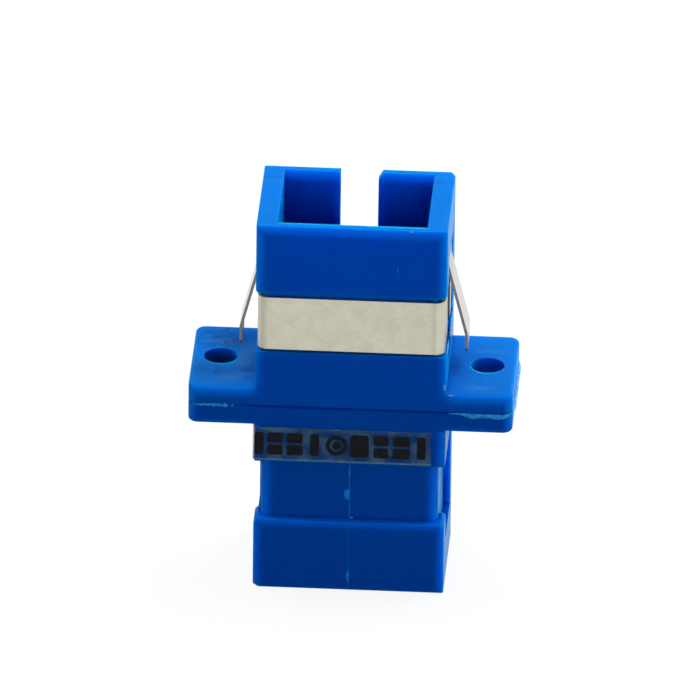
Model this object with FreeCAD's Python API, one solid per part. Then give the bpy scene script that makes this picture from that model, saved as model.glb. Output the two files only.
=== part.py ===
import FreeCAD, Part
import math
import os

# SC simplex bulkhead attenuator, in millimetres. Z runs along the optical axis, with the lower
# mouth's rim on Z = 0. X runs along the flange, and -Y is the face with the clip and the label.

# Housing, two halves of one moulding that meet at mid length
length = 27.2
body_width = 12.9
body_depth = 9.2
body_corner_radius = 0.16
rim_edge_radius = 0.07
flange_width = 21.9
flange_thickness = 2.85
flange_corner_radius = 0.7
flange_edge_radius = 0.25
parting_bevel = 0.09
hole_inset = 1.95
hole_diameter = 2.3
collar_height = 2.68
block_height = 5.1
block_corner_radius = 0.3

# Corners broken off at the rims: the upper half's right back one and the lower half's left front one
upper_chip_x = 0.32
upper_chip_y = 0.6
upper_chip_z = 0.34
lower_chip_x = 0.42
lower_chip_y = 0.5
lower_chip_z = 0.48

# Plug port in each half
port_width = 10.1
port_depth = 7.5
mouth_flare = 0.37
mouth_flare_height = 3.2
key_slot_width = 2.55
key_slot_height = 6.0
key_bevel_width = 0.3
key_bevel_height = 0.5

# Clip recess: a band across the front and a pocket in each side, with a window above it
recess_front = 0.62
recess_side = 0.47
corner_post = 2.0
back_post = 1.6
window_rise = 2.0

# Panel clip, one folded strip with a lanced tab in each leg
clip_sheet = 0.2
clip_inset = 0.12
clip_clearance = 0.18
bridge_top_gap = 0.37
clip_bend_radius = 0.68
clip_corner_radius = 0.3
tab_width = 2.45
tab_slit = 0.1
tab_root_margin = 0.7
tab_spread = 1.38
tab_tip = 1.3
tab_bend_radius = 0.5
panel_thickness = 1.5
panel_clearance = 0.06

# Alignment sleeve for two ferrules, and the washer that keeps them apart
ferrule_diameter = 2.5
sleeve_wall = 0.35
sleeve_length = 11.4
sleeve_slot = 0.5
spacer_thickness = 0.33
spacer_hole = 1.0
spacer_clearance = 0.01

# Inner latch, one moulding per half: a trapped plate, a sleeve holder and two hooked arms
latch_ledge_x = 0.55
latch_ledge_y = 0.3
latch_clearance = 0.05
latch_plate_thickness = 0.9
sleeve_clearance = 0.05
sleeve_end_play = 0.15
holder_wall = 0.65
holder_lip = 0.75
ferrule_clearance = 0.1
ferrule_lead_in = 0.3
arm_gap = 0.55
arm_thickness = 0.9
arm_width = 2.6
arm_root_radius = 0.4
catch_height = 6.7
barb_reach = 0.65
barb_land = 0.3
barb_slope = 1.3
arm_tip_land = 0.35

# Film label on the lower collar, wrapped round the left front corner
label_film = 0.1
label_height = 2.45
label_margin = 0.08
label_bare_front = 0.95
label_side_wrap = 3.6

half_length = length / 2
half_flange = flange_thickness / 2
hole_offset = flange_width / 2 - hole_inset
front = -body_depth / 2
back = body_depth / 2
side = body_width / 2
collar_top = half_flange + collar_height
block_base = half_length - block_height
window_top = block_base + window_rise
window_front = front + corner_post
pocket_back = back - back_post
sleeve_diameter = ferrule_diameter + 2 * sleeve_wall
arm_outer = port_width / 2 - arm_gap
leg_outer = side - clip_inset
leg_inner = leg_outer - clip_sheet
leg_end = pocket_back - clip_clearance
ear_front = window_front + clip_clearance
ear_top = window_top - clip_clearance
tab_root = ear_top - tab_root_margin
tab_end = half_flange + panel_thickness + panel_clearance
clip_bottom = collar_top + clip_clearance
bridge_height = block_base - bridge_top_gap - clip_bottom
cut_over = 1.0
same_place = 1e-6

up = FreeCAD.Vector(0, 0, 1)
axis_x = FreeCAD.Vector(1, 0, 0)
axis_y = FreeCAD.Vector(0, 1, 0)
origin = FreeCAD.Vector(0, 0, 0)


def corner_arc(before, corner, after, radius):
    """Arc tangent to the two straight runs that meet at a corner."""
    to_before = (before - corner).normalize()
    to_after = (after - corner).normalize()
    half_angle = to_before.getAngle(to_after) / 2
    setback = radius / math.tan(half_angle)
    bisector = (to_before + to_after).normalize()
    middle = corner + bisector * (radius / math.sin(half_angle) - radius)
    return Part.Arc(corner + to_before * setback, middle, corner + to_after * setback).toShape()


def rounded_path(points, radius):
    """Edges of straight runs joined by tangent arcs at every inner point."""
    edges = []
    start = points[0]
    for before, corner, after in zip(points, points[1:], points[2:]):
        arc = corner_arc(before, corner, after, radius)
        edges.append(Part.LineSegment(start, arc.Vertexes[0].Point).toShape())
        edges.append(arc)
        start = arc.Vertexes[-1].Point
    edges.append(Part.LineSegment(start, points[-1]).toShape())
    return edges


def rounded_block(width, depth, radius, height):
    """Upright block on Z = 0 with rounded corners, centred on the axis."""
    x = width / 2
    y = depth / 2
    outline = [(0, -y), (x, -y), (x, y), (-x, y), (-x, -y), (0, -y)]
    points = [FreeCAD.Vector(px, py, 0) for px, py in outline]
    return Part.Face(Part.Wire(rounded_path(points, radius))).extrude(up * height)


def tongue_face(points, radius):
    """Face inside a path with rounded inner corners, closed by a straight base."""
    base = Part.LineSegment(points[-1], points[0]).toShape()
    return Part.Face(Part.Wire(rounded_path(points, radius) + [base]))


def upright_tongue(base_z, end_z, y_from, y_to, radius):
    """Face in the YZ plane with a straight base and two rounded corners at its end."""
    outline = [(y_from, base_z), (y_from, end_z), (y_to, end_z), (y_to, base_z)]
    return tongue_face([FreeCAD.Vector(0, y, z) for y, z in outline], radius)


def folded_strip(points, bend_radius, thickness, extent):
    """Sheet along a bent path, with its thickness laid to the path's left if positive."""
    path = Part.Wire(rounded_path(points, bend_radius))
    join_by_arc = 0
    section = path.makeOffset2D(thickness, join_by_arc, True, True)
    return section.extrude(extent)


def prism(outline, plane_point, extent):
    """Solid from a closed outline, with its points placed by a function and pushed out."""
    points = [plane_point(u, v) for u, v in outline]
    return Part.Face(Part.makePolygon(points + points[:1])).extrude(extent)


def prism_along_x(outline, x_from, x_to):
    """Solid with the same YZ outline from one X to another."""
    return prism(outline, lambda y, z: FreeCAD.Vector(x_from, y, z), FreeCAD.Vector(x_to - x_from, 0, 0))


def prism_along_y(outline, y_from, y_to):
    """Solid with the same XZ outline from one Y to another."""
    return prism(outline, lambda x, z: FreeCAD.Vector(x, y_from, z), axis_y * (y_to - y_from))


def centred_box(width, depth, z_from, z_to):
    """Box centred on the axis between two heights."""
    corner = FreeCAD.Vector(-width / 2, -depth / 2, z_from)
    return Part.makeBox(width, depth, z_to - z_from, corner)


def round_top(block, radius):
    """The same block with the edges of its top face rounded."""
    top_face = max(block.Faces, key=lambda face: face.CenterOfMass.z)
    return block.makeFillet(radius, top_face.Edges)


def bevel_base(block, size):
    """The same block with the edges of its base face bevelled."""
    base_face = min(block.Faces, key=lambda face: face.CenterOfMass.z)
    return block.makeChamfer(size, base_face.Edges)


def flange_half():
    """Half of the two-hole flange, flush with the body's front and back."""
    plate = rounded_block(flange_width, body_depth, flange_corner_radius, half_flange)
    return round_top(plate, flange_edge_radius)


def flange_holes():
    """Drills for the two panel screws."""
    drills = []
    for x in (-hole_offset, hole_offset):
        start = FreeCAD.Vector(x, 0, -cut_over)
        drills.append(Part.makeCylinder(hole_diameter / 2, half_flange + 2 * cut_over, start))
    return drills


def port_cuts():
    """Plug opening, its flared mouth, the key slot in the back wall and the latch's seat."""
    opening = centred_box(port_width, port_depth, -cut_over, half_length + cut_over)
    y = port_depth / 2
    flare_base = half_length - mouth_flare_height
    flare_outline = [
        (-y, flare_base),
        (y, flare_base),
        (y + mouth_flare, half_length),
        (-y - mouth_flare, half_length),
    ]
    flare = prism_along_x(flare_outline, -port_width / 2, port_width / 2)
    x = key_slot_width / 2
    slot_outline = [
        (-x, half_length - key_slot_height),
        (x, half_length - key_slot_height),
        (x, half_length - key_bevel_height),
        (x + key_bevel_width, half_length),
        (-x, half_length),
    ]
    key_slot = prism_along_y(slot_outline, 0, back + cut_over)
    seat_width = port_width + 2 * latch_ledge_x
    seat_depth = port_depth + 2 * latch_ledge_y
    seat = centred_box(seat_width, seat_depth, -cut_over, latch_plate_thickness)
    return [opening, flare, key_slot, seat]


def clip_recess():
    """Space round the body that takes the clip: across the front and along both sides."""
    space = centred_box(2 * (side + cut_over), 2 * (back + cut_over), collar_top, block_base)
    back_wall = centred_box(2 * (side + cut_over), body_depth, collar_top, block_base)
    back_wall.translate(axis_y * (pocket_back + back))
    core_side = side - recess_side
    core_front = front + recess_front
    outline = [
        (core_side, back),
        (core_side, core_front),
        (-core_side, core_front),
        (-core_side, back),
    ]
    points = [FreeCAD.Vector(x, y, collar_top) for x, y in outline]
    core = tongue_face(points, clip_bend_radius - clip_sheet).extrude(up * (block_base - collar_top))
    return space.cut([back_wall, core])


def ear_windows():
    """Pockets above the recess, behind each front corner post, that take the clip's ears."""
    outline = [
        (window_front, block_base),
        (pocket_back, block_base),
        (pocket_back, window_top),
        (window_front, window_top),
    ]
    floor = side - recess_side
    return [prism_along_x(outline, sign * floor, sign * (side + cut_over)) for sign in (-1, 1)]


def block_corner_rounds():
    """Cutters that round the block's front corners where it meets the clip recess."""
    radius = block_corner_radius
    centre = FreeCAD.Vector(side - radius, front - cut_over, block_base + radius)
    depth = window_front - centre.y
    reach = radius + cut_over
    square = Part.makeBox(reach, depth, reach, centre - up * reach)
    rounding = square.cut(Part.makeCylinder(radius, depth, centre, axis_y))
    return [rounding, rounding.mirror(origin, axis_x)]


def housing_half():
    """One housing moulding, with its parting face on Z = 0 and its mouth upward."""
    column = rounded_block(body_width, body_depth, body_corner_radius, half_length)
    moulding = round_top(column, rim_edge_radius).fuse(flange_half()).removeSplitter()
    cutters = flange_holes() + port_cuts() + ear_windows() + block_corner_rounds() + [clip_recess()]
    return bevel_base(moulding, parting_bevel).cut(cutters).removeSplitter()


def corner_chip(corner, legs):
    """Wedge between a corner and the ends of three legs along the edges that leave it."""
    ends = [corner + leg for leg in legs]
    return Part.makeLoft([Part.makePolygon(ends + ends[:1]), Part.Vertex(corner)], True)


def upper_chip():
    """Broken corner of the upper rim, at the right of the back."""
    legs = [-axis_x * upper_chip_x, -axis_y * upper_chip_y, -up * upper_chip_z]
    return corner_chip(FreeCAD.Vector(side, back, half_length), legs)


def lower_chip():
    """Broken corner of the lower rim, at the left of the front."""
    legs = [axis_x * lower_chip_x, axis_y * lower_chip_y, up * lower_chip_z]
    return corner_chip(FreeCAD.Vector(-side, front, -half_length), legs)


def sleeve_holder():
    """Half of the tube round the alignment sleeve, closed by a lip that passes the ferrule."""
    bore = sleeve_diameter / 2 + sleeve_clearance
    outer = bore + holder_wall
    lip_base = sleeve_length / 2 + sleeve_end_play
    height = lip_base + holder_lip
    ferrule = ferrule_diameter / 2 + ferrule_clearance
    profile = [
        (bore, 0),
        (outer, 0),
        (outer, height),
        (ferrule + ferrule_lead_in, height),
        (ferrule, height - ferrule_lead_in),
        (ferrule, lip_base),
        (bore, lip_base),
    ]
    points = [FreeCAD.Vector(r, 0, z) for r, z in profile]
    return Part.Face(Part.makePolygon(points + points[:1])).revolve(origin, up, 360)


def latch_arm():
    """Hooked arm on the +X side, barbed towards the axis."""
    inner = arm_outer - arm_thickness
    barb = inner - barb_reach
    barb_top = catch_height + barb_land
    tip = barb_top + barb_slope
    profile = [
        (inner, 0),
        (arm_outer, 0),
        (arm_outer, tip),
        (arm_outer - arm_tip_land, tip),
        (barb, barb_top),
        (barb, catch_height),
        (inner, catch_height),
    ]
    return prism_along_y(profile, -arm_width / 2, arm_width / 2)


def latch_half():
    """One inner latch, with its plate's back on Z = 0 and its arms upward."""
    plate_width = port_width + 2 * (latch_ledge_x - latch_clearance)
    plate_depth = port_depth + 2 * (latch_ledge_y - latch_clearance)
    plate = centred_box(plate_width, plate_depth, 0, latch_plate_thickness)
    arm = latch_arm()
    other_arm = arm.rotated(origin, up, 180)
    bore = Part.makeCylinder(sleeve_diameter / 2 + sleeve_clearance, latch_plate_thickness)
    latch = plate.fuse([arm, other_arm]).cut(bore).fuse(sleeve_holder()).removeSplitter()
    return latch.makeFillet(arm_root_radius, arm_root_edges(latch))


def arm_root_edges(latch):
    """Straight edges along Y where the arms' inner and outer faces leave the plate."""
    edges = []
    for edge in latch.Edges:
        box = edge.BoundBox
        on_plate = abs(box.ZMin - latch_plate_thickness) < same_place and box.ZLength < same_place
        along_arm = abs(box.YLength - arm_width) < same_place and box.XLength < same_place
        if on_plate and along_arm and abs(box.XMin) <= arm_outer + same_place:
            edges.append(edge)
    return edges


def alignment_sleeve():
    """Split sleeve round the optical axis, centred on the parting plane."""
    base = FreeCAD.Vector(0, 0, -sleeve_length / 2)
    tube = Part.makeCylinder(sleeve_diameter / 2, sleeve_length, base)
    bore = Part.makeCylinder(ferrule_diameter / 2, sleeve_length, base)
    slot_corner = FreeCAD.Vector(-sleeve_slot / 2, 0, -sleeve_length / 2)
    slot = Part.makeBox(sleeve_slot, sleeve_diameter, sleeve_length, slot_corner)
    return tube.cut([bore, slot])


def gap_spacer():
    """Washer in the middle of the sleeve, which sets the air gap between the two ferrules."""
    base = FreeCAD.Vector(0, 0, -spacer_thickness / 2)
    disc = Part.makeCylinder(ferrule_diameter / 2 - spacer_clearance, spacer_thickness, base)
    return disc.cut(Part.makeCylinder(spacer_hole / 2, spacer_thickness, base))


def clip_tab():
    """Lanced tab of the +X leg, bent out from its root and straightened at its tip."""
    bends = [
        (leg_inner, ear_top),
        (leg_inner, tab_root),
        (leg_inner + tab_spread, tab_end + tab_tip),
        (leg_inner + tab_spread, tab_end),
    ]
    points = [FreeCAD.Vector(x, -tab_width / 2, z) for x, z in bends]
    strip = folded_strip(points, tab_bend_radius, clip_sheet, axis_y * tab_width)
    blank = upright_tongue(ear_top, tab_end, -tab_width / 2, tab_width / 2, clip_corner_radius)
    return strip.common(blank.extrude(axis_x * (leg_outer + tab_spread)))


def clip_ear():
    """Upper part of the +X leg, which stands in the window behind the corner post."""
    ear = upright_tongue(clip_bottom, ear_top, ear_front, leg_end, clip_corner_radius)
    return ear.translated(axis_x * leg_inner).extrude(axis_x * clip_sheet)


def tab_window():
    """Opening that lancing the tab leaves in both legs, with a slit on each side of the tab."""
    width = 2 * (leg_outer + cut_over)
    depth = tab_width + 2 * tab_slit
    opening = centred_box(width, depth, clip_bottom - cut_over, tab_root)
    return opening.cut(centred_box(2 * (leg_inner - cut_over), depth, clip_bottom - cut_over, tab_root))


def panel_clip():
    """Folded clip of the upper half: a bridge, two legs with ears and two spring tabs."""
    bridge_front = front + clip_inset
    corners = [
        (leg_outer, leg_end),
        (leg_outer, bridge_front),
        (-leg_outer, bridge_front),
        (-leg_outer, leg_end),
    ]
    points = [FreeCAD.Vector(x, y, clip_bottom) for x, y in corners]
    band = folded_strip(points, clip_bend_radius, clip_sheet, up * bridge_height)
    ear = clip_ear()
    tab = clip_tab()
    legs = band.fuse([ear, ear.mirror(origin, axis_x)]).cut(tab_window())
    return legs.fuse([tab, tab.mirror(origin, axis_x)]).removeSplitter()


def rating_label():
    """Clear film on the lower collar, from the front face round the left corner."""
    top = -half_flange - label_margin
    corners = [(side - label_bare_front, front), (-side, front), (-side, front + label_side_wrap)]
    points = [FreeCAD.Vector(x, y, top - label_height) for x, y in corners]
    return folded_strip(points, body_corner_radius, -label_film, up * label_height)


def turned_over(shape):
    """The same moulding turned half round about the Y axis."""
    return shape.rotated(origin, axis_y, 180)


housing = housing_half()
latch = latch_half()
pieces = {
    "upper_housing": housing.cut(upper_chip()),
    "lower_housing": turned_over(housing).cut(lower_chip()),
    "upper_latch": latch,
    "lower_latch": turned_over(latch),
    "alignment_sleeve": alignment_sleeve(),
    "gap_spacer": gap_spacer(),
    "panel_clip": panel_clip(),
    "rating_label": rating_label(),
}

os.makedirs("parts", exist_ok=True)
for name, shape in pieces.items():
    shape.translated(up * half_length).exportStep("parts/%s.step" % name)
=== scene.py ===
import math

import bmesh
import bpy
from mathutils import Matrix, Vector


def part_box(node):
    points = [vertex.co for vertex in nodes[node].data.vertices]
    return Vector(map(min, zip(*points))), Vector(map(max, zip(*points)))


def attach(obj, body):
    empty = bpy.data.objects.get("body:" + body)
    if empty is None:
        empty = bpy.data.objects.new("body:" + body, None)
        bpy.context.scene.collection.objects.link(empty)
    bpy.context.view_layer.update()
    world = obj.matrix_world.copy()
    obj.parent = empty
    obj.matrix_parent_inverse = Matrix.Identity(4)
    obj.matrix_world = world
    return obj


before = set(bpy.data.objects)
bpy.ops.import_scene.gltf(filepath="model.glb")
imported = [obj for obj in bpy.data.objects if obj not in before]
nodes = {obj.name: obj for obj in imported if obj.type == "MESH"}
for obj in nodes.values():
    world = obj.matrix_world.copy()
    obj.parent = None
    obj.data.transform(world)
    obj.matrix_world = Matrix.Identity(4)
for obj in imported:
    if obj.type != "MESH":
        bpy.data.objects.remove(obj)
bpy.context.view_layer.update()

MM = 0.001

# The photograph's view: a far camera, slightly to the right of the front and above
PICTURE_PIXELS = 700
PIXELS_PER_MM = 14.822
VIEW_AZIMUTH = math.radians(3.09)
VIEW_ELEVATION = math.radians(26.37)
VIEW_ROLL = math.radians(-0.72)
VIEW_DISTANCE = 2.0
ANCHOR_POINT = Vector((0, 0, 13.5 * MM))
ANCHOR_PIXEL = (354.0, 380.7)
SENSOR_MM = 36.0

# Edge rounding of the moulded and stamped pieces
MOULDED_EDGE = 0.05 * MM
STAMPED_EDGE = 0.03 * MM

# Faces of the part that the added details lie on
lower_low, lower_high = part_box("lower_housing")
_, upper_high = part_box("upper_housing")
FRONT_FACE = lower_low.y
FLANGE_END = lower_high.x
PARTING_HEIGHT = lower_high.z
RIM_HEIGHT = upper_high.z
FLANGE_CORNER = 0.7 * MM
FLANGE_HALF = 1.425 * MM
FLANGE_TOP = PARTING_HEIGHT + FLANGE_HALF
FLANGE_FOOT = PARTING_HEIGHT - FLANGE_HALF
BODY_SIDE = 6.45 * MM
RECESS_DEPTH = 0.62 * MM
RECESS_FACE = FRONT_FACE + RECESS_DEPTH
RECESS_LOW = 5.1 * MM
RECESS_HIGH = 9.495 * MM
label_low, label_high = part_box("rating_label")
LABEL_FACE = label_low.y
LABEL_LOW = label_low.z
LABEL_HIGH = label_high.z

# How far the painted shade of the mouths, holes and inner corners reaches
HOLLOW_REACH = 12.0 * MM

# Inside the mouth, painted light where light passes through the back wall beside the side walls and the
# key slot
PORT_SIDE = 5.05 * MM
KEY_SIDE = 1.275 * MM
MOUTH_GLOW = 0.8 * MM

# Width of the painted lighter bands where light passes through the front's edges
SIDE_GLOW = 0.8 * MM
RIM_GLOW = 1.0 * MM
BLOCK_GLOW = 0.7 * MM
EAR_GLOW = 1.1 * MM
FOOT_GLOW = 0.5 * MM
EDGE_GLOW = 0.92

# The front's painted light rises between these heights
FRONT_FADE_LOW = 15.0 * MM
FRONT_FADE_HIGH = 23.0 * MM

# Line across the side walls' rims, and its distance from the parting plane
WITNESS_Y = 2.87 * MM
WITNESS_DEPTH = 13.5 * MM

# Painted shade along the joint between the halves on the front, which fades out before the weld flash
JOINT_CORE = 0.04 * MM
JOINT_REACH = 0.2 * MM
JOINT_FULL = 6.0 * MM
JOINT_END = 7.6 * MM

# Marks of use, partly painted reflection and painted shade, on the flange's upper face, as X, Y, reach
# along X, reach along Y (mm) and strength
# Pale smears, partly painted reflection of the clip on the ears
PALE_SMEARS_AND_REFLECTIONS = (
    (-8.9, 2.2, 1.8, 0.6, 0.75),
    (-7.2, -0.4, 1.0, 3.4, 0.5),
    (-8.3, -3.0, 1.5, 0.9, 0.3),
    (8.6, -3.5, 1.6, 0.45, 0.5),
    (9.1, 2.1, 1.8, 0.5, 0.3),
)
# Dark stains, partly painted shade of the body on the ears near the collar
DARK_STAINS_AND_SHADE = (
    (-8.9, 3.0, 3.4, 3.4, 0.9),
    (-9.4, -2.0, 2.6, 1.9, 0.65),
    (-7.2, -1.9, 0.9, 0.7, 0.75),
    (-7.0, -3.2, 0.35, 0.2, 0.8),
    (6.9, 0.2, 0.5, 2.2, 0.45),
    (8.6, 0.4, 2.6, 4.6, 0.22),
)
SPOT_REACH_Z = 0.3 * MM

# Painted shade inside the left screw hole, which is darker than the right one
LEFT_HOLE_MIDDLE = (-9.0 * MM, 0.0, FLANGE_TOP - 1.2 * MM)
LEFT_HOLE_REACH = (2.6 * MM, 2.6 * MM, 1.3 * MM)

# Weld flash at the right: run from its start, and reach below and above the parting line (mm)
RIGHT_LIP = (
    (0.0, 0.01), (0.7, 0.1), (1.0, 0.13), (1.6, 0.38), (1.9, 0.33),
    (2.6, 0.27), (3.3, 0.38), (3.7, 0.3), (4.3, 0.14), (4.8, 0.06),
)
RIGHT_LIP_TOP = ((0.0, 0.01), (0.7, 0.05), (3.6, 0.03), (4.3, 0.06), (4.8, 0.06))

# Painted reflection on the clip's steel from left to right: X (mm) and brightness
BRIDGE_REFLECTION = (
    (-6.4, 1.08), (-6.25, 1.0), (-5.96, 0.8), (-5.6, 1.0),
    (5.3, 1.0), (5.6, 0.86), (5.9, 1.14), (6.4, 1.12),
)
BRIDGE_SIDE = 6.4 * MM

# The clip's sheared faces are those turned up or down, and those on its legs turned to front or back
TURNED_UP = 0.98
TURNED_ACROSS = 0.02
LEG_FACES_BEYOND = 5.9 * MM

# Generic print on the label: X of the middle, width (mm) and kind of mark
PRINT_MARKS = (
    (-6.1, 0.64, "block"),
    (-5.03, 1.06, "stack"),
    (-3.7, 1.1, "stack"),
    (-2.35, 0.6, "block"),
    (-0.87, 1.5, "disc"),
    (0.67, 1.26, "block"),
    (2.12, 1.0, "stack"),
    (3.5, 1.16, "stack"),
    (4.85, 0.6, "block"),
)
PRINT_GAP = 0.16 * MM
PRINT_HEIGHT = 1.66 * MM
PRINT_MIDDLE = 10.9 * MM
PRINT_CORNER = 0.16 * MM
PRINT_INK = 0.012 * MM
RING_HOLE = 0.62
RING_DOT = 0.4

# Fineness of the added meshes, and how deep they are rooted in the part
FLASH_STEP = 0.05 * MM
FLASH_ROOT = 0.08 * MM
FLASH_SLICES = 6
RIDGE_STEPS = 40
RIDGE_ROOT = 0.01 * MM
BURR_STEPS = 30
BURR_SIDES = 6
OVAL_POINTS = 16
FLAKE_ROOT = 0.02 * MM
CORNER_STEPS = 4


def feed(tree, node, inputs):
    """Set each input of a node to a value, or link it from another node's output."""
    for name, value in inputs.items():
        if isinstance(value, bpy.types.NodeSocket):
            tree.links.new(value, node.inputs[name])
        else:
            node.inputs[name].default_value = value


def add(tree, kind, inputs=None, **settings):
    """A node with its settings and its inputs."""
    made = tree.nodes.new(kind)
    for name, value in settings.items():
        setattr(made, name, value)
    feed(tree, made, inputs or {})
    return made


def empty_tree(owner):
    """The node tree of a material or a world, emptied."""
    owner.use_nodes = True
    owner.node_tree.nodes.clear()
    return owner.node_tree


def new_material(name):
    """A material, its node tree and its Principled shader, which is on the output."""
    material = bpy.data.materials.new(name)
    tree = empty_tree(material)
    shader = add(tree, "ShaderNodeBsdfPrincipled")
    add(tree, "ShaderNodeOutputMaterial", {"Surface": shader.outputs["BSDF"]})
    return material, tree, shader


def place(tree):
    """Coordinates in the part's own frame, in metres."""
    return add(tree, "ShaderNodeTexCoord").outputs["Object"]


def axes_of(tree, vector):
    """The X, Y and Z outputs of a vector."""
    return add(tree, "ShaderNodeSeparateXYZ", {"Vector": vector}).outputs


def noise(tree, vector, scale, detail=3.0, roughness=0.55):
    """Soft noise from 0 to 1."""
    inputs = {"Vector": vector, "Scale": scale, "Detail": detail, "Roughness": roughness}
    return add(tree, "ShaderNodeTexNoise", inputs).outputs["Fac"]


def ramp(tree, value, low, high, to_low=0.0, to_high=1.0):
    """A value carried smoothly from one range to another."""
    inputs = {"Value": value, "From Min": low, "From Max": high, "To Min": to_low, "To Max": to_high}
    return add(tree, "ShaderNodeMapRange", inputs, interpolation_type="SMOOTHSTEP").outputs["Result"]


def mix(tree, factor, first, second):
    """Two colours mixed by a factor."""
    return add(tree, "ShaderNodeMix", {0: factor, 6: first, 7: second}, data_type="RGBA").outputs[2]


def colour(red, green, blue):
    """A colour socket's value from linear red, green and blue."""
    return (red, green, blue, 1.0)


def calculate(tree, operation, first, second=0.0):
    """The result of one sum on two values."""
    return add(tree, "ShaderNodeMath", {0: first, 1: second}, operation=operation).outputs["Value"]


def product(tree, first, *others):
    """The product of two or more values."""
    for other in others:
        first = calculate(tree, "MULTIPLY", first, other)
    return first


def distance(tree, value, middle):
    """How far a value lies from a middle one."""
    return calculate(tree, "ABSOLUTE", calculate(tree, "SUBTRACT", value, middle))


def soft_spot(tree, where, middle, reach):
    """1 at a point of the part, fading to 0 at its reach along each axis."""
    scale = [1 / size for size in reach]
    offset = [-at / size for at, size in zip(middle, reach)]
    moved = add(tree, "ShaderNodeMapping", {"Vector": where, "Location": offset, "Scale": scale})
    away = add(tree, "ShaderNodeVectorMath", {"Vector": moved.outputs["Vector"]}, operation="LENGTH")
    return ramp(tree, away.outputs["Value"], 0.15, 1.0, 1.0, 0.0)


def flange_marks_and_painted_light(tree, where, tone):
    """The tone of the plastic with the smears and stains on the flange's upper face laid over it, partly
    painted reflection and painted shade.
    """
    patchy = ramp(tree, noise(tree, where, 1500.0, detail=4.0), 0.25, 0.7, 0.35, 1.0)
    layers = ((PALE_SMEARS_AND_REFLECTIONS, colour(0.07, 0.2, 0.46)), (DARK_STAINS_AND_SHADE, colour(0.002, 0.05, 0.2)))
    for spots, spot_colour in layers:
        for x, y, reach_x, reach_y, strength in spots:
            middle = (x * MM, y * MM, FLANGE_TOP)
            spot = soft_spot(tree, where, middle, (reach_x * MM, reach_y * MM, SPOT_REACH_Z))
            tone = mix(tree, product(tree, spot, strength, patchy), tone, spot_colour)
    return tone


def witness_lines(tree, where, tone):
    """The tone of the plastic with a fine dark line across the side walls' rims."""
    axes = axes_of(tree, where)
    on_line = ramp(tree, distance(tree, axes["Y"], WITNESS_Y), 0.015 * MM, 0.05 * MM, 0.75, 0.0)
    from_joint = distance(tree, axes["Z"], PARTING_HEIGHT)
    on_rim = ramp(tree, from_joint, WITNESS_DEPTH, WITNESS_DEPTH + 0.04 * MM)
    return mix(tree, product(tree, on_line, on_rim), tone, colour(0.001, 0.03, 0.18))


def joint_shade(tree, where, tone):
    """The tone of the plastic, with painted shade along the joint of the two halves."""
    axes = axes_of(tree, where)
    on_joint = ramp(tree, distance(tree, axes["Z"], PARTING_HEIGHT), JOINT_CORE, JOINT_REACH, 0.6, 0.0)
    within = ramp(tree, calculate(tree, "ABSOLUTE", axes["X"]), JOINT_FULL, JOINT_END, 1.0, 0.0)
    in_front = calculate(tree, "LESS_THAN", axes["Y"], RECESS_FACE)
    return mix(tree, product(tree, on_joint, within, in_front), tone, colour(0.0005, 0.02, 0.48))


def hollow_shade_and_glow(tree, where, tone):
    """The tone of the plastic, with painted shade in the hollows and painted light at the back wall's
    edges there.
    """
    reach = {"Distance": HOLLOW_REACH}
    hollow = add(tree, "ShaderNodeAmbientOcclusion", reach, samples=8, only_local=True)
    axes = axes_of(tree, where)
    beside = calculate(tree, "ABSOLUTE", axes["X"])
    from_port = distance(tree, beside, PORT_SIDE)
    from_edge = calculate(tree, "MINIMUM", from_port, distance(tree, beside, KEY_SIDE))
    at_back = calculate(tree, "GREATER_THAN", axes["Y"], 0.0)
    lit = product(tree, ramp(tree, from_edge, 0.0, MOUTH_GLOW, 0.13, 0.0), at_back)
    openness = calculate(tree, "ADD", hollow.outputs["AO"], lit)
    return mix(tree, ramp(tree, openness, 0.25, 0.6), colour(0.0003, 0.024, 0.32), tone)


def side_bands(tree, axes, beside, from_joint):
    """1 at the left and right ends of the flange, collars, recesses and blocks, fading inwards."""
    beyond_flange = calculate(tree, "GREATER_THAN", from_joint, FLANGE_HALF)
    beyond_collar = calculate(tree, "GREATER_THAN", from_joint, PARTING_HEIGHT - RECESS_HIGH)
    within_block = calculate(tree, "LESS_THAN", from_joint, PARTING_HEIGHT - RECESS_LOW)
    flange_step = product(tree, beyond_flange, FLANGE_END - BODY_SIDE)
    recess_step = product(tree, beyond_collar, within_block, RECESS_DEPTH)
    narrowed = calculate(tree, "ADD", flange_step, recess_step)
    to_side = calculate(tree, "SUBTRACT", calculate(tree, "SUBTRACT", FLANGE_END, narrowed), beside)
    # Painted glow, weaker on the left, which gets less light
    weaker_left = ramp(tree, axes["X"], -BODY_SIDE, BODY_SIDE, 0.8, 1.0)
    bands = product(tree, ramp(tree, to_side, 0.0, SIDE_GLOW, 1.0, 0.0), weaker_left)
    on_collar = calculate(tree, "SUBTRACT", beyond_flange, beyond_collar)
    above = calculate(tree, "GREATER_THAN", axes["Z"], PARTING_HEIGHT)
    dimmed = product(tree, on_collar, above, 0.6)
    return product(tree, bands, calculate(tree, "SUBTRACT", 1.0, dimmed))


def block_band(tree, axes):
    """1 at the lower block's top edge, fading downwards."""
    band = ramp(tree, axes["Z"], RECESS_LOW - BLOCK_GLOW, RECESS_LOW)
    return product(tree, band, calculate(tree, "LESS_THAN", axes["Z"], RECESS_LOW), 0.7)


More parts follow.
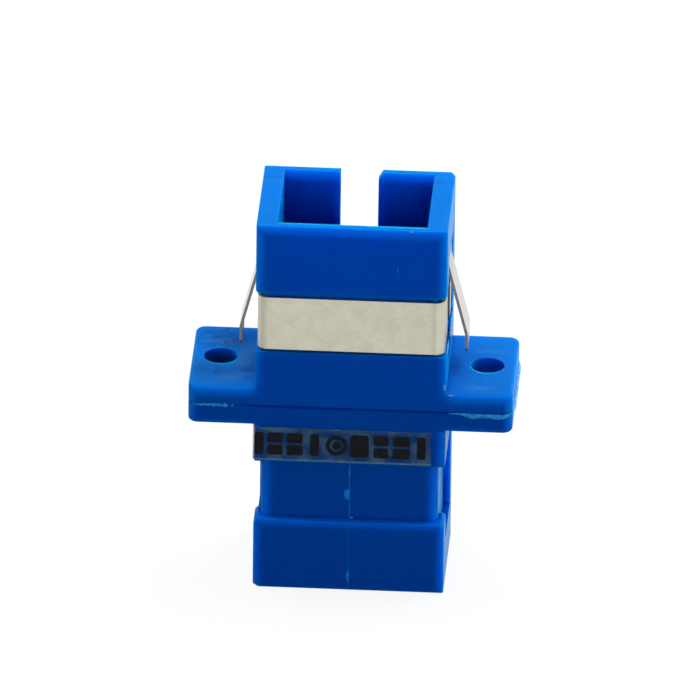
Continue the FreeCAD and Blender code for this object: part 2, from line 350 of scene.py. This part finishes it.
def ear_bands(tree, axes, beside, from_joint):
    """1 at the upper and lower edges of the flange's ears, fading towards the middle of each."""
    ear_top = ramp(tree, axes["Z"], FLANGE_TOP - EAR_GLOW, FLANGE_TOP, 0.0, 0.9)
    ear_foot = ramp(tree, axes["Z"], FLANGE_FOOT, FLANGE_FOOT + FOOT_GLOW, 0.6, 0.0)
    ear_edge = calculate(tree, "MAXIMUM", ear_top, ear_foot)
    on_ear = ramp(tree, beside, BODY_SIDE - 0.6 * MM, BODY_SIDE + 0.8 * MM)
    beyond_flange = calculate(tree, "GREATER_THAN", from_joint, FLANGE_HALF)
    within_flange = calculate(tree, "SUBTRACT", 1.0, beyond_flange)
    in_front = calculate(tree, "LESS_THAN", axes["Y"], RECESS_FACE)
    return product(tree, ear_edge, on_ear, within_flange, in_front)


def edge_bands(tree, where):
    """Mask of the painted glow: 1 at the edges of the faces turned to the front, fading inwards from each
    of them.
    """
    axes = axes_of(tree, where)
    beside = calculate(tree, "ABSOLUTE", axes["X"])
    from_joint = distance(tree, axes["Z"], PARTING_HEIGHT)
    bands = side_bands(tree, axes, beside, from_joint)
    upper_rim = ramp(tree, axes["Z"], RIM_HEIGHT - RIM_GLOW, RIM_HEIGHT)
    for band in (upper_rim, block_band(tree, axes), ear_bands(tree, axes, beside, from_joint)):
        bands = calculate(tree, "MAXIMUM", bands, band)
    return bands


def facing(tree):
    """1 on faces turned to the front, then on those turned left or right, then on those turned up."""
    axes = axes_of(tree, add(tree, "ShaderNodeNewGeometry").outputs["Normal"])
    front = ramp(tree, axes["Y"], -0.9, -0.3, 1.0, 0.0)
    side = ramp(tree, calculate(tree, "ABSOLUTE", axes["X"]), 0.6, 0.95)
    return front, side, ramp(tree, axes["Z"], 0.6, 0.95)


def housing_plastic(name, light_level, glow_colour, top_light_colour=None):
    """Blue moulded plastic, slightly translucent, with a satin grain; its light level scales its
    brightness, and its colour carries painted light and shade: own tones on the faces turned up, to the
    sides and to the front, painted shade in the hollows and painted glow at the front's edges.
    """
    material, tree, shader = new_material(name)
    where = place(tree)
    cloud = noise(tree, where, 260.0)
    low = colour(0.002, 0.14 * light_level, 0.54 * light_level)
    high = colour(0.002, 0.155 * light_level, 0.59 * light_level)
    tone = mix(tree, ramp(tree, cloud, 0.3, 0.7), low, high)
    front, side, level = facing(tree)
    # Painted light: faces turned up, to the sides and to the front each get their own tone, the front
    # lighter towards the top
    if top_light_colour:
        tone = mix(tree, level, tone, top_light_colour)
    tone = mix(tree, side, tone, colour(0.002, 0.19 * light_level, 0.64 * light_level))
    raised = ramp(tree, axes_of(tree, where)["Z"], FRONT_FADE_LOW, FRONT_FADE_HIGH)
    low_front = colour(0.001, 0.097 * light_level, 0.565 * light_level)
    high_front = colour(0.001, 0.103 * light_level, 0.64 * light_level)
    tone = mix(tree, front, tone, mix(tree, raised, low_front, high_front))
    tone = joint_shade(tree, where, witness_lines(tree, where, flange_marks_and_painted_light(tree, where, tone)))
    tone = hollow_shade_and_glow(tree, where, tone)
    # Painted shade inside the left screw hole
    left_hole_shade = soft_spot(tree, where, LEFT_HOLE_MIDDLE, LEFT_HOLE_REACH)
    tone = mix(tree, left_hole_shade, tone, colour(0.0002, 0.004, 0.03))
    # Painted glow where light passes through the front's edges
    glow = product(tree, edge_bands(tree, where), front, EDGE_GLOW)
    grain = noise(tree, where, 9000.0, detail=2.0)
    bump = add(tree, "ShaderNodeBump", {"Height": grain, "Strength": 0.02, "Distance": 0.02 * MM})
    feed(tree, shader, {
        "Base Color": mix(tree, glow, tone, glow_colour),
        "Roughness": ramp(tree, grain, 0.3, 0.7, 0.22, 0.32),
        "Normal": bump.outputs["Normal"],
        "Specular IOR Level": 0.007,
        "Subsurface Weight": 1.0,
        "Subsurface Radius": (0.1, 0.9, 1.0),
        "Subsurface Scale": 1.0 * MM,
    })
    return material


def flash_plastic(name, deep, pale):
    """Thin weld and mould flash of the housing, lighter than the solid plastic."""
    material, tree, shader = new_material(name)
    grain = noise(tree, place(tree), 4000.0, detail=4.0)
    feed(tree, shader, {
        "Base Color": mix(tree, ramp(tree, grain, 0.35, 0.65), deep, pale),
        "Roughness": ramp(tree, grain, 0.3, 0.7, 0.2, 0.4),
        "Specular IOR Level": 0.03,
    })
    return material


def bridge_reflection(tree, where):
    """Painted reflection on the steel from left to right, with a dull band and a bright one at each bend.
    """
    inputs = {"Value": axes_of(tree, where)["X"], "From Min": -BRIDGE_SIDE, "From Max": BRIDGE_SIDE}
    share = add(tree, "ShaderNodeMapRange", inputs)
    bands = add(tree, "ShaderNodeValToRGB", {"Fac": share.outputs["Result"]})
    stops = bands.color_ramp.elements
    brightest = max(tone for _, tone in BRIDGE_REFLECTION)
    for index, (x, tone) in enumerate(BRIDGE_REFLECTION):
        if index >= len(stops):
            stops.new(1.0)
        stops[index].position = (x * MM + BRIDGE_SIDE) / (2 * BRIDGE_SIDE)
        stops[index].color = colour(*[tone / brightest] * 3)
    return product(tree, bands.outputs["Color"], brightest)


def clip_steel():
    """Rolled spring steel, soft and mottled, with a very fine grain along the strip, and painted
    reflection: lighter, cooler tabs and bands at the bends.
    """
    material, tree, shader = new_material("clip_steel")
    where = place(tree)
    stretched = add(tree, "ShaderNodeMapping", {"Vector": where, "Scale": (0.3, 0.3, 1.0)})
    grain = noise(tree, stretched.outputs["Vector"], 9000.0, detail=3.0)
    cloud = noise(tree, where, 1200.0, detail=4.0)
    mottle = calculate(tree, "ADD", product(tree, grain, 0.5), product(tree, cloud, 0.5))
    dull = colour(0.47, 0.455, 0.365)
    tone = mix(tree, ramp(tree, mottle, 0.35, 0.65), dull, colour(0.53, 0.515, 0.42))
    beside = calculate(tree, "ABSOLUTE", axes_of(tree, where)["X"])
    # Painted reflection: the tabs lighter and cooler than the bridge
    on_tab = ramp(tree, beside, BRIDGE_SIDE, BRIDGE_SIDE + 0.4 * MM)
    tone = mix(tree, product(tree, on_tab, 0.75), tone, colour(0.6, 0.61, 0.6))
    scaled = {0: tone, "Scale": bridge_reflection(tree, where)}
    bright = add(tree, "ShaderNodeVectorMath", scaled, operation="SCALE")
    bump = add(tree, "ShaderNodeBump", {"Height": grain, "Strength": 0.05, "Distance": 0.01 * MM})
    feed(tree, shader, {
        "Base Color": bright.outputs["Vector"],
        "Roughness": ramp(tree, mottle, 0.3, 0.7, 0.32, 0.42),
        "Normal": bump.outputs["Normal"],
        "Metallic": 1.0,
    })
    return material


def sheared_steel_and_shade():
    """Dull dark steel of the clip's sheared edges, rough and painted dark as shade."""
    material, tree, shader = new_material("sheared_steel_and_shade")
    grain = noise(tree, place(tree), 15000.0, detail=3.0)
    dark = colour(0.12, 0.125, 0.13)
    feed(tree, shader, {
        "Base Color": mix(tree, ramp(tree, grain, 0.3, 0.7), dark, colour(0.26, 0.26, 0.255)),
        "Roughness": ramp(tree, grain, 0.3, 0.7, 0.45, 0.6),
        "Metallic": 1.0,
    })
    return material


def print_ink():
    """Dense black ink, a little uneven."""
    material, tree, shader = new_material("print_ink")
    grain = noise(tree, place(tree), 5000.0, detail=3.0)
    dense = colour(0.006, 0.008, 0.011)
    feed(tree, shader, {
        "Base Color": mix(tree, ramp(tree, grain, 0.3, 0.7), dense, colour(0.013, 0.015, 0.018)),
        "Roughness": ramp(tree, grain, 0.3, 0.7, 0.4, 0.55),
        "Specular IOR Level": 0.05,
    })
    return material


def label_film():
    """Clear film, with patches of grey haze over the blue and a paler edge."""
    material, tree, shader = new_material("label_film")
    where = place(tree)
    haze = ramp(tree, noise(tree, where, 900.0), 0.3, 0.7)
    height = axes_of(tree, where)["Z"]
    upper_edge = ramp(tree, height, LABEL_HIGH - 0.4 * MM, LABEL_HIGH, 0.0, 0.5)
    lower_edge = ramp(tree, height, LABEL_LOW, LABEL_LOW + 0.25 * MM, 1.0, 0.0)
    edge = calculate(tree, "MAXIMUM", upper_edge, lower_edge)
    tone = mix(tree, haze, colour(0.02, 0.13, 0.34), colour(0.09, 0.19, 0.34))
    hazy = ramp(tree, haze, 0.0, 1.0, 0.25, 0.6)
    feed(tree, shader, {
        "Base Color": mix(tree, edge, tone, colour(0.16, 0.34, 0.52)),
        "Roughness": ramp(tree, haze, 0.0, 1.0, 0.25, 0.35),
        "Alpha": calculate(tree, "MAXIMUM", hazy, product(tree, edge, 0.7)),
        "Specular IOR Level": 0.15,
    })
    return material


def sleeve_ceramic():
    """White zirconia, ground and polished."""
    material, tree, shader = new_material("sleeve_ceramic")
    speckle = noise(tree, place(tree), 6000.0)
    feed(tree, shader, {
        "Base Color": mix(tree, speckle, colour(0.78, 0.77, 0.73), colour(0.86, 0.85, 0.82)),
        "Roughness": ramp(tree, speckle, 0.3, 0.7, 0.14, 0.22),
    })
    return material


def washer_steel():
    """Stamped steel of the gap washer."""
    material, tree, shader = new_material("washer_steel")
    speckle = noise(tree, place(tree), 8000.0)
    feed(tree, shader, {
        "Base Color": mix(tree, speckle, colour(0.5, 0.5, 0.5), colour(0.6, 0.6, 0.6)),
        "Roughness": ramp(tree, speckle, 0.3, 0.7, 0.3, 0.45),
        "Metallic": 1.0,
    })
    return material


def soften_edges(node, width):
    """Round a CAD node's sharp edges in the picture, without touching its own mesh."""
    weld = node.modifiers.new("join_faces", "WELD")
    weld.merge_threshold = 0.001 * MM
    bevel = node.modifiers.new("soft_edges", "BEVEL")
    bevel.width = width
    bevel.segments = 3
    bevel.limit_method = "ANGLE"
    bevel.angle_limit = math.radians(32)
    bevel.harden_normals = True


def dress(node_name, material, edge):
    """Give a CAD node its material and its soft edges."""
    node = nodes[node_name]
    node.data.materials.clear()
    node.data.materials.append(material)
    if edge:
        soften_edges(node, edge)


def darken_sheared_edges(clip, material):
    """Give the clip's sheared edges, seen as its narrow faces, their own material, rough and painted dark
    as shade.
    """
    clip.data.materials.append(material)
    for face in clip.data.polygons:
        level = abs(face.normal.z) > TURNED_UP
        on_leg = abs(face.normal.x) < TURNED_ACROSS and abs(face.center.x) > LEG_FACES_BEYOND
        if level or on_leg:
            face.material_index = 1


def add_piece(name, mesh, material, smooth=True):
    """Add a mesh as a piece of the part, with its material, attached under the part's root body."""
    mesh.materials.append(material)
    for face in mesh.polygons:
        face.use_smooth = smooth
    piece = bpy.data.objects.new(name, mesh)
    bpy.context.scene.collection.objects.link(piece)
    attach(piece, "root")


def lofted_mesh(name, rings):
    """A closed mesh through rings with the same number of points."""
    shape = bmesh.new()
    made = [[shape.verts.new(point) for point in ring] for ring in rings]
    count = len(made[0])
    for ring, following in zip(made, made[1:]):
        for index in range(count):
            beside = (index + 1) % count
            shape.faces.new((ring[index], ring[beside], following[beside], following[index]))
    shape.faces.new(made[0])
    shape.faces.new(reversed(made[-1]))
    bmesh.ops.recalc_face_normals(shape, faces=shape.faces)
    mesh = bpy.data.meshes.new(name)
    shape.to_mesh(mesh)
    shape.free()
    return mesh


def flange_rim(run):
    """Point on the flange's parting edge and the way out of it, at a run from the front's middle."""
    side = math.copysign(1.0, run)
    straight = FLANGE_END - FLANGE_CORNER
    turn = min(max((abs(run) - straight) / FLANGE_CORNER, 0.0), math.pi / 2)
    along_end = max(abs(run) - straight - FLANGE_CORNER * math.pi / 2, 0.0)
    out = Vector((side * math.sin(turn), -math.cos(turn), 0))
    centre_x = side * min(abs(run), straight)
    centre = Vector((centre_x, FRONT_FACE + FLANGE_CORNER + along_end, PARTING_HEIGHT))
    return centre + out * FLANGE_CORNER, out


def ripple(run, coarse):
    """Uneven waves between about -1 and 1 along a run, with the coarsest wave's length given."""
    turns = 2 * math.pi * run / coarse
    return 0.5 * math.sin(turns) + 0.3 * math.sin(2.3 * turns + 1.0) + 0.2 * math.sin(5.1 * turns + 2.0)


def flash_bead(name, start, end, section, material):
    """Bead of weld flash along the parting edge; its section gives the upper, lower and outer reach."""
    rings = []
    count = round(abs(end - start) / FLASH_STEP)
    for index in range(count + 1):
        share = index / count
        point, out = flange_rim(start + (end - start) * share)
        above, below, proud = section(share, abs(end - start) * share)
        ring = [point - out * FLASH_ROOT]
        for slice_index in range(FLASH_SLICES + 1):
            angle = math.pi * (slice_index / FLASH_SLICES - 0.5)
            height = (above + below) / 2 * math.sin(angle) + (above - below) / 2
            ring.append(point + out * (proud * math.cos(angle)) + Vector((0, 0, height)))
        rings.append(ring)
    add_piece(name, lofted_mesh(name, rings), material)


def between(table, at):
    """Value at a place in a table of places and values, straight from each to the next."""
    for (start, first), (end, last) in zip(table, table[1:]):
        if at <= end:
            return first + (last - first) * max(at - start, 0.0) / (end - start)
    return table[-1][1]


def right_flash(_share, run):
    """Reach of the flash at the right of the front, a lip that hangs in two lobes below the line."""
    below = MM * between(RIGHT_LIP, run / MM)
    above = MM * between(RIGHT_LIP_TOP, run / MM)
    proud = 0.04 * MM + 0.3 * below + 0.015 * MM * ripple(run, 0.9 * MM)
    return above, below, proud


def end_flash(share, run):
    """Reach of the thin even rim of flash along the flange's right end."""
    growth = min(min(share, 1.0 - share) / 0.1, 1.0)
    proud = 0.17 * MM * growth + 0.015 * MM * ripple(run, 2.9 * MM)
    return 0.02 * MM + 0.06 * MM * growth, 0.02 * MM + 0.06 * MM * growth, 0.02 * MM + proud


def left_flash(share, run):
    """Reach of the grainy flash at the left of the front, blunt at its inner end."""
    growth = min(share / 0.06, 1.0) * math.sqrt(1.0 - share)
    waves = ripple(run, 0.7 * MM)
    above = growth * MM * (0.13 + 0.05 * waves)
    below = growth * MM * (0.14 + 0.06 * ripple(run, 0.45 * MM))
    proud = growth * MM * (0.08 + 0.04 * waves)
    return above + 0.01 * MM, below + 0.01 * MM, proud + 0.01 * MM


def mould_ridge(name, face_y, low, high, width, proud, material):
    """Fine ridge up the middle of a front face, left by the mould's halves."""
    rings = []
    for index in range(RIDGE_STEPS + 1):
        height = low + (high - low) * index / RIDGE_STEPS
        half = width / 2 * (1.0 + 0.3 * ripple(height, 1.7 * MM))
        middle = 0.02 * MM * ripple(height, 5.0 * MM)
        rings.append([
            Vector((middle - half, face_y + RIDGE_ROOT, height)),
            Vector((middle, face_y - proud, height)),
            Vector((middle + half, face_y + RIDGE_ROOT, height)),
        ])
    add_piece(name, lofted_mesh(name, rings), material)


def edge_burr(name, start, end, radius, material):
    """Thin uneven burr along an edge of the part, between two points in millimetres."""
    start = Vector(start) * MM
    along = Vector(end) * MM - start
    across = along.orthogonal().normalized()
    beside = along.cross(across).normalized()
    turns = [2 * math.pi * corner / BURR_SIDES for corner in range(BURR_SIDES)]
    rings = []
    for index in range(BURR_STEPS + 1):
        share = index / BURR_STEPS
        taper = math.sin(math.pi * (0.04 + 0.92 * share))
        size = radius * taper * (1.0 + 0.4 * ripple(share * along.length, 0.8 * MM))
        middle = start + along * share
        ways = [across * math.cos(turn) + beside * math.sin(turn) for turn in turns]
        rings.append([middle + size * way for way in ways])
    add_piece(name, lofted_mesh(name, rings), material)


def oval(x, z, half_x, half_z):
    """Outline of an oval on a front face, from its middle and half sizes in millimetres."""
    turns = [2 * math.pi * index / OVAL_POINTS for index in range(OVAL_POINTS)]
    return [(x + half_x * math.cos(turn), z + half_z * math.sin(turn)) for turn in turns]


def flake(name, outline, face_y, proud, material):
    """Raised flake of flash on a front face, from its outline's X and Z in millimetres."""
    middle_x = sum(x for x, _ in outline) / len(outline)
    middle_z = sum(z for _, z in outline) / len(outline)
    rings = []
    for share, height in ((1.0, -FLAKE_ROOT), (0.95, 0.4 * proud), (0.7, 0.85 * proud), (0.3, proud)):
        ring = []
        for x, z in outline:
            ring_x = (middle_x + (x - middle_x) * share) * MM
            ring_z = (middle_z + (z - middle_z) * share) * MM
            ring.append(Vector((ring_x, face_y - height, ring_z)))
        rings.append(ring)
    add_piece(name, lofted_mesh(name, rings), material)


def rounded_outline(x, y, half_width, half_height, radius):
    """Outline of a rounded block round its middle, with Y from the print's centre line."""
    points = []
    for quarter, (sign_x, sign_y) in enumerate(((1, 1), (-1, 1), (-1, -1), (1, -1))):
        for step in range(CORNER_STEPS + 1):
            turn = math.pi / 2 * (quarter + step / CORNER_STEPS)
            points.append((
                x + sign_x * (half_width - radius) + radius * math.cos(turn),
                y + sign_y * (half_height - radius) + radius * math.sin(turn),
            ))
    return points


def mark_outlines(x, width, kind):
    """Outlines of one printed mark: a block, two blocks in a stack, or a ring with a dot."""
    half_width = width / 2
    half_height = PRINT_HEIGHT / 2
    if kind == "block":
        return [rounded_outline(x, 0, half_width, half_height, PRINT_CORNER)]
    if kind == "stack":
        part_height = (half_height - PRINT_GAP / 2) / 2
        middle = (half_height + PRINT_GAP / 2) / 2
        return [rounded_outline(x, y, half_width, part_height, PRINT_CORNER) for y in (-middle, middle)]
    radii = (half_width, RING_HOLE * half_width, RING_DOT * half_width)
    return [rounded_outline(x, 0, radius, radius, 0.999 * radius) for radius in radii]


def print_on_film(name, marks, placed, ink):
    """Marks of thin ink on the label, drawn flat and then placed on one of its faces."""
    drawing = bpy.data.curves.new(name, "CURVE")
    drawing.dimensions = "2D"
    drawing.fill_mode = "BOTH"
    drawing.extrude = PRINT_INK / 2
    for x, width, kind in marks:
        for outline in mark_outlines(x * MM, width * MM, kind):
            spline = drawing.splines.new("POLY")
            spline.points.add(len(outline) - 1)
            for point, (along, up) in zip(spline.points, outline):
                point.co = (along, up, 0, 1)
            spline.use_cyclic_u = True
    sketch = bpy.data.objects.new(name + "_sketch", drawing)
    mesh = bpy.data.meshes.new_from_object(sketch)
    mesh.name = name
    bpy.data.objects.remove(sketch)
    mesh.transform(placed)
    add_piece(name, mesh, ink, smooth=False)


def background_rays(tree):
    """1 for rays that show the background: from the camera, by reflection and by refraction."""
    light_path = add(tree, "ShaderNodeLightPath")
    seen = light_path.outputs["Is Camera Ray"]
    for name in ("Is Glossy Ray", "Is Transmission Ray"):
        seen = calculate(tree, "MAXIMUM", seen, light_path.outputs[name])
    return seen


def pale_floor():
    """White floor that keeps a faint shadow, and gives the part little light from below."""
    bpy.ops.mesh.primitive_plane_add(size=1.6, location=(0, 0, 0))
    floor = bpy.context.object
    floor.name = "floor"
    material = bpy.data.materials.new("floor_white")
    tree = empty_tree(material)
    plain = add(tree, "ShaderNodeBsdfDiffuse", {"Color": colour(0.15, 0.15, 0.15)})
    shaded = add(tree, "ShaderNodeBsdfDiffuse", {"Color": colour(0.14, 0.14, 0.14)})
    glow = add(tree, "ShaderNodeEmission", {"Color": colour(1, 1, 1), "Strength": 0.88})
    white = add(tree, "ShaderNodeAddShader", {0: shaded.outputs["BSDF"], 1: glow.outputs["Emission"]})
    both = {"Fac": background_rays(tree), 1: plain.outputs["BSDF"], 2: white.outputs["Shader"]}
    choice = add(tree, "ShaderNodeMixShader", both)
    add(tree, "ShaderNodeOutputMaterial", {"Surface": choice.outputs["Shader"]})
    floor.data.materials.append(material)


def white_world():
    """White where the background shows, and a low even light on the part."""
    world = bpy.data.worlds.new("studio")
    bpy.context.scene.world = world
    tree = empty_tree(world)
    tone = mix(tree, background_rays(tree), colour(0.21, 0.215, 0.24), colour(1, 1, 1))
    background = add(tree, "ShaderNodeBackground", {"Color": tone, "Strength": 1.0})
    add(tree, "ShaderNodeOutputWorld", {"Surface": background.outputs["Background"]})


def soft_lamp(name, place_at, size, power, tint=(1.0, 1.0, 1.0), mirrored=True):
    """A square soft box that faces the part, and shows in the steel as an image if mirrored."""
    data = bpy.data.lights.new(name, "AREA")
    data.color = tint
    data.size = size
    data.energy = power
    lamp = bpy.data.objects.new(name, data)
    lamp.location = place_at
    lamp.visible_glossy = mirrored
    lamp.rotation_euler = (ANCHOR_POINT - Vector(place_at)).to_track_quat("-Z", "Y").to_euler()
    bpy.context.scene.collection.objects.link(lamp)


def photo_camera():
    """Camera at the photograph's viewing angle and framing."""
    right = Vector((math.cos(VIEW_AZIMUTH), math.sin(VIEW_AZIMUTH), 0))
    level = Vector((math.sin(VIEW_AZIMUTH), -math.cos(VIEW_AZIMUTH), 0))
    toward = level * math.cos(VIEW_ELEVATION) + Vector((0, 0, math.sin(VIEW_ELEVATION)))
    up = toward.cross(right)
    across = right * math.cos(VIEW_ROLL) - up * math.sin(VIEW_ROLL)
    upward = right * math.sin(VIEW_ROLL) + up * math.cos(VIEW_ROLL)
    metres_per_pixel = MM / PIXELS_PER_MM
    middle = PICTURE_PIXELS / 2
    centre = ANCHOR_POINT - across * ((ANCHOR_PIXEL[0] - middle) * metres_per_pixel)
    centre += upward * ((ANCHOR_PIXEL[1] - middle) * metres_per_pixel)
    data = bpy.data.cameras.new("photo_camera")
    data.sensor_fit = "HORIZONTAL"
    data.sensor_width = SENSOR_MM
    data.lens = SENSOR_MM * VIEW_DISTANCE / (PICTURE_PIXELS * metres_per_pixel)
    camera = bpy.data.objects.new("photo_camera", data)
    axes = Matrix((across, upward, toward)).transposed().to_4x4()
    camera.matrix_world = Matrix.Translation(centre + toward * VIEW_DISTANCE) @ axes
    bpy.context.scene.collection.objects.link(camera)
    bpy.context.scene.camera = camera


blue = housing_plastic("housing_plastic", 1.0, colour(0.003, 0.28, 1.0))
# The lower halves' copy of the plastic, painted darker as shade, with its own painted glow and painted
# light on its faces turned up
shaded_glow_colour = colour(0.003, 0.2, 1.0)
shaded_blue = housing_plastic("housing_plastic_shaded", 0.87, shaded_glow_colour, colour(0.002, 0.18, 0.8))
dress("upper_housing", blue, MOULDED_EDGE)
dress("lower_housing", shaded_blue, MOULDED_EDGE)
dress("upper_latch", blue, MOULDED_EDGE)
dress("lower_latch", shaded_blue, MOULDED_EDGE)
dress("panel_clip", clip_steel(), None)
darken_sheared_edges(nodes["panel_clip"], sheared_steel_and_shade())
dress("rating_label", label_film(), STAMPED_EDGE)
dress("alignment_sleeve", sleeve_ceramic(), STAMPED_EDGE)
dress("gap_spacer", washer_steel(), STAMPED_EDGE)

weld_blue = flash_plastic("weld_flash_plastic", colour(0.008, 0.22, 0.7), colour(0.035, 0.42, 0.95))
weld_pale_and_highlight = flash_plastic("weld_rim_and_highlight_plastic", colour(0.1, 0.36, 0.75), colour(0.22, 0.52, 0.9))
mould_blue = flash_plastic("mould_flash_plastic", colour(0.004, 0.17, 0.75), colour(0.008, 0.26, 0.98))
flash_bead("weld_flash_right", 6.6 * MM, 11.4 * MM, right_flash, weld_blue)
flash_bead("weld_flash_end", 10.9 * MM, FLANGE_END + 8.0 * MM, end_flash, weld_pale_and_highlight)
flash_bead("weld_flash_left", -8.2 * MM, -10.6 * MM, left_flash, weld_blue)
mould_ridge("mould_line_block", FRONT_FACE, 0.1 * MM, RECESS_LOW, 0.06 * MM, 0.01 * MM, mould_blue)
mould_ridge("mould_line_recess", RECESS_FACE, RECESS_LOW, RECESS_HIGH, 0.12 * MM, 0.035 * MM, mould_blue)
kite = ((-0.2, 1.05), (-0.02, 1.5), (0.07, 1.4), (0.08, 0.9), (0.03, 0.25), (-0.03, 0.6))
flake("mould_flake_low", kite, FRONT_FACE, 0.04 * MM, mould_blue)
flake("mould_flake_round", oval(-0.16, 6.9, 0.23, 0.42), RECESS_FACE, 0.06 * MM, mould_blue)
flake("mould_flake_high", oval(-0.01, 8.6, 0.09, 0.34), RECESS_FACE, 0.05 * MM, mould_blue)
flake("mould_flake_ledge", oval(0.18, 5.2, 0.09, 0.07), RECESS_FACE, 0.08 * MM, weld_blue)
flake("weld_flash_dot", oval(-7.93, PARTING_HEIGHT / MM, 0.09, 0.1), FRONT_FACE, 0.06 * MM, weld_blue)
# Painted highlight along the collar's upper right edge, on a pale burr
edge_burr("collar_burr_highlight", (6.44, -4.0, 17.69), (6.44, -1.6, 17.69), 0.06 * MM, weld_pale_and_highlight)
flake("rim_nick", oval(4.0, RIM_HEIGHT / MM - 0.12, 0.12, 0.06), FRONT_FACE, 0.02 * MM, weld_pale_and_highlight)
flake("block_scratch", oval(3.1, 24.1, 0.04, 0.3), FRONT_FACE, 0.01 * MM, mould_blue)
flake("collar_nick", oval(6.34, 15.5, 0.06, 0.24), FRONT_FACE, 0.03 * MM, weld_pale_and_highlight)
flake("ear_nick", oval(6.8, 14.92, 0.2, 0.05), FRONT_FACE, 0.03 * MM, weld_pale_and_highlight)

ink = print_ink()
on_front = Matrix.Translation((0, LABEL_FACE, PRINT_MIDDLE)) @ Matrix.Rotation(math.pi / 2, 4, "X")
print_on_film("print_marks", PRINT_MARKS, on_front, ink)

pale_floor()
white_world()
soft_lamp("top_lamp", (0.03, 0.04, 0.145), 0.12, 0.135)
soft_lamp("front_lamp", (0.02, -0.24, 0.1), 0.16, 0.2)
soft_lamp("left_lamp", (-0.16, 0.09, 0.18), 0.2, 0.34)
soft_lamp("right_lamp", (0.2, 0.12, 0.06), 0.2, 0.6, (0.75, 0.97, 1.0), mirrored=False)
photo_camera()
bpy.context.scene.view_settings.view_transform = "Standard"
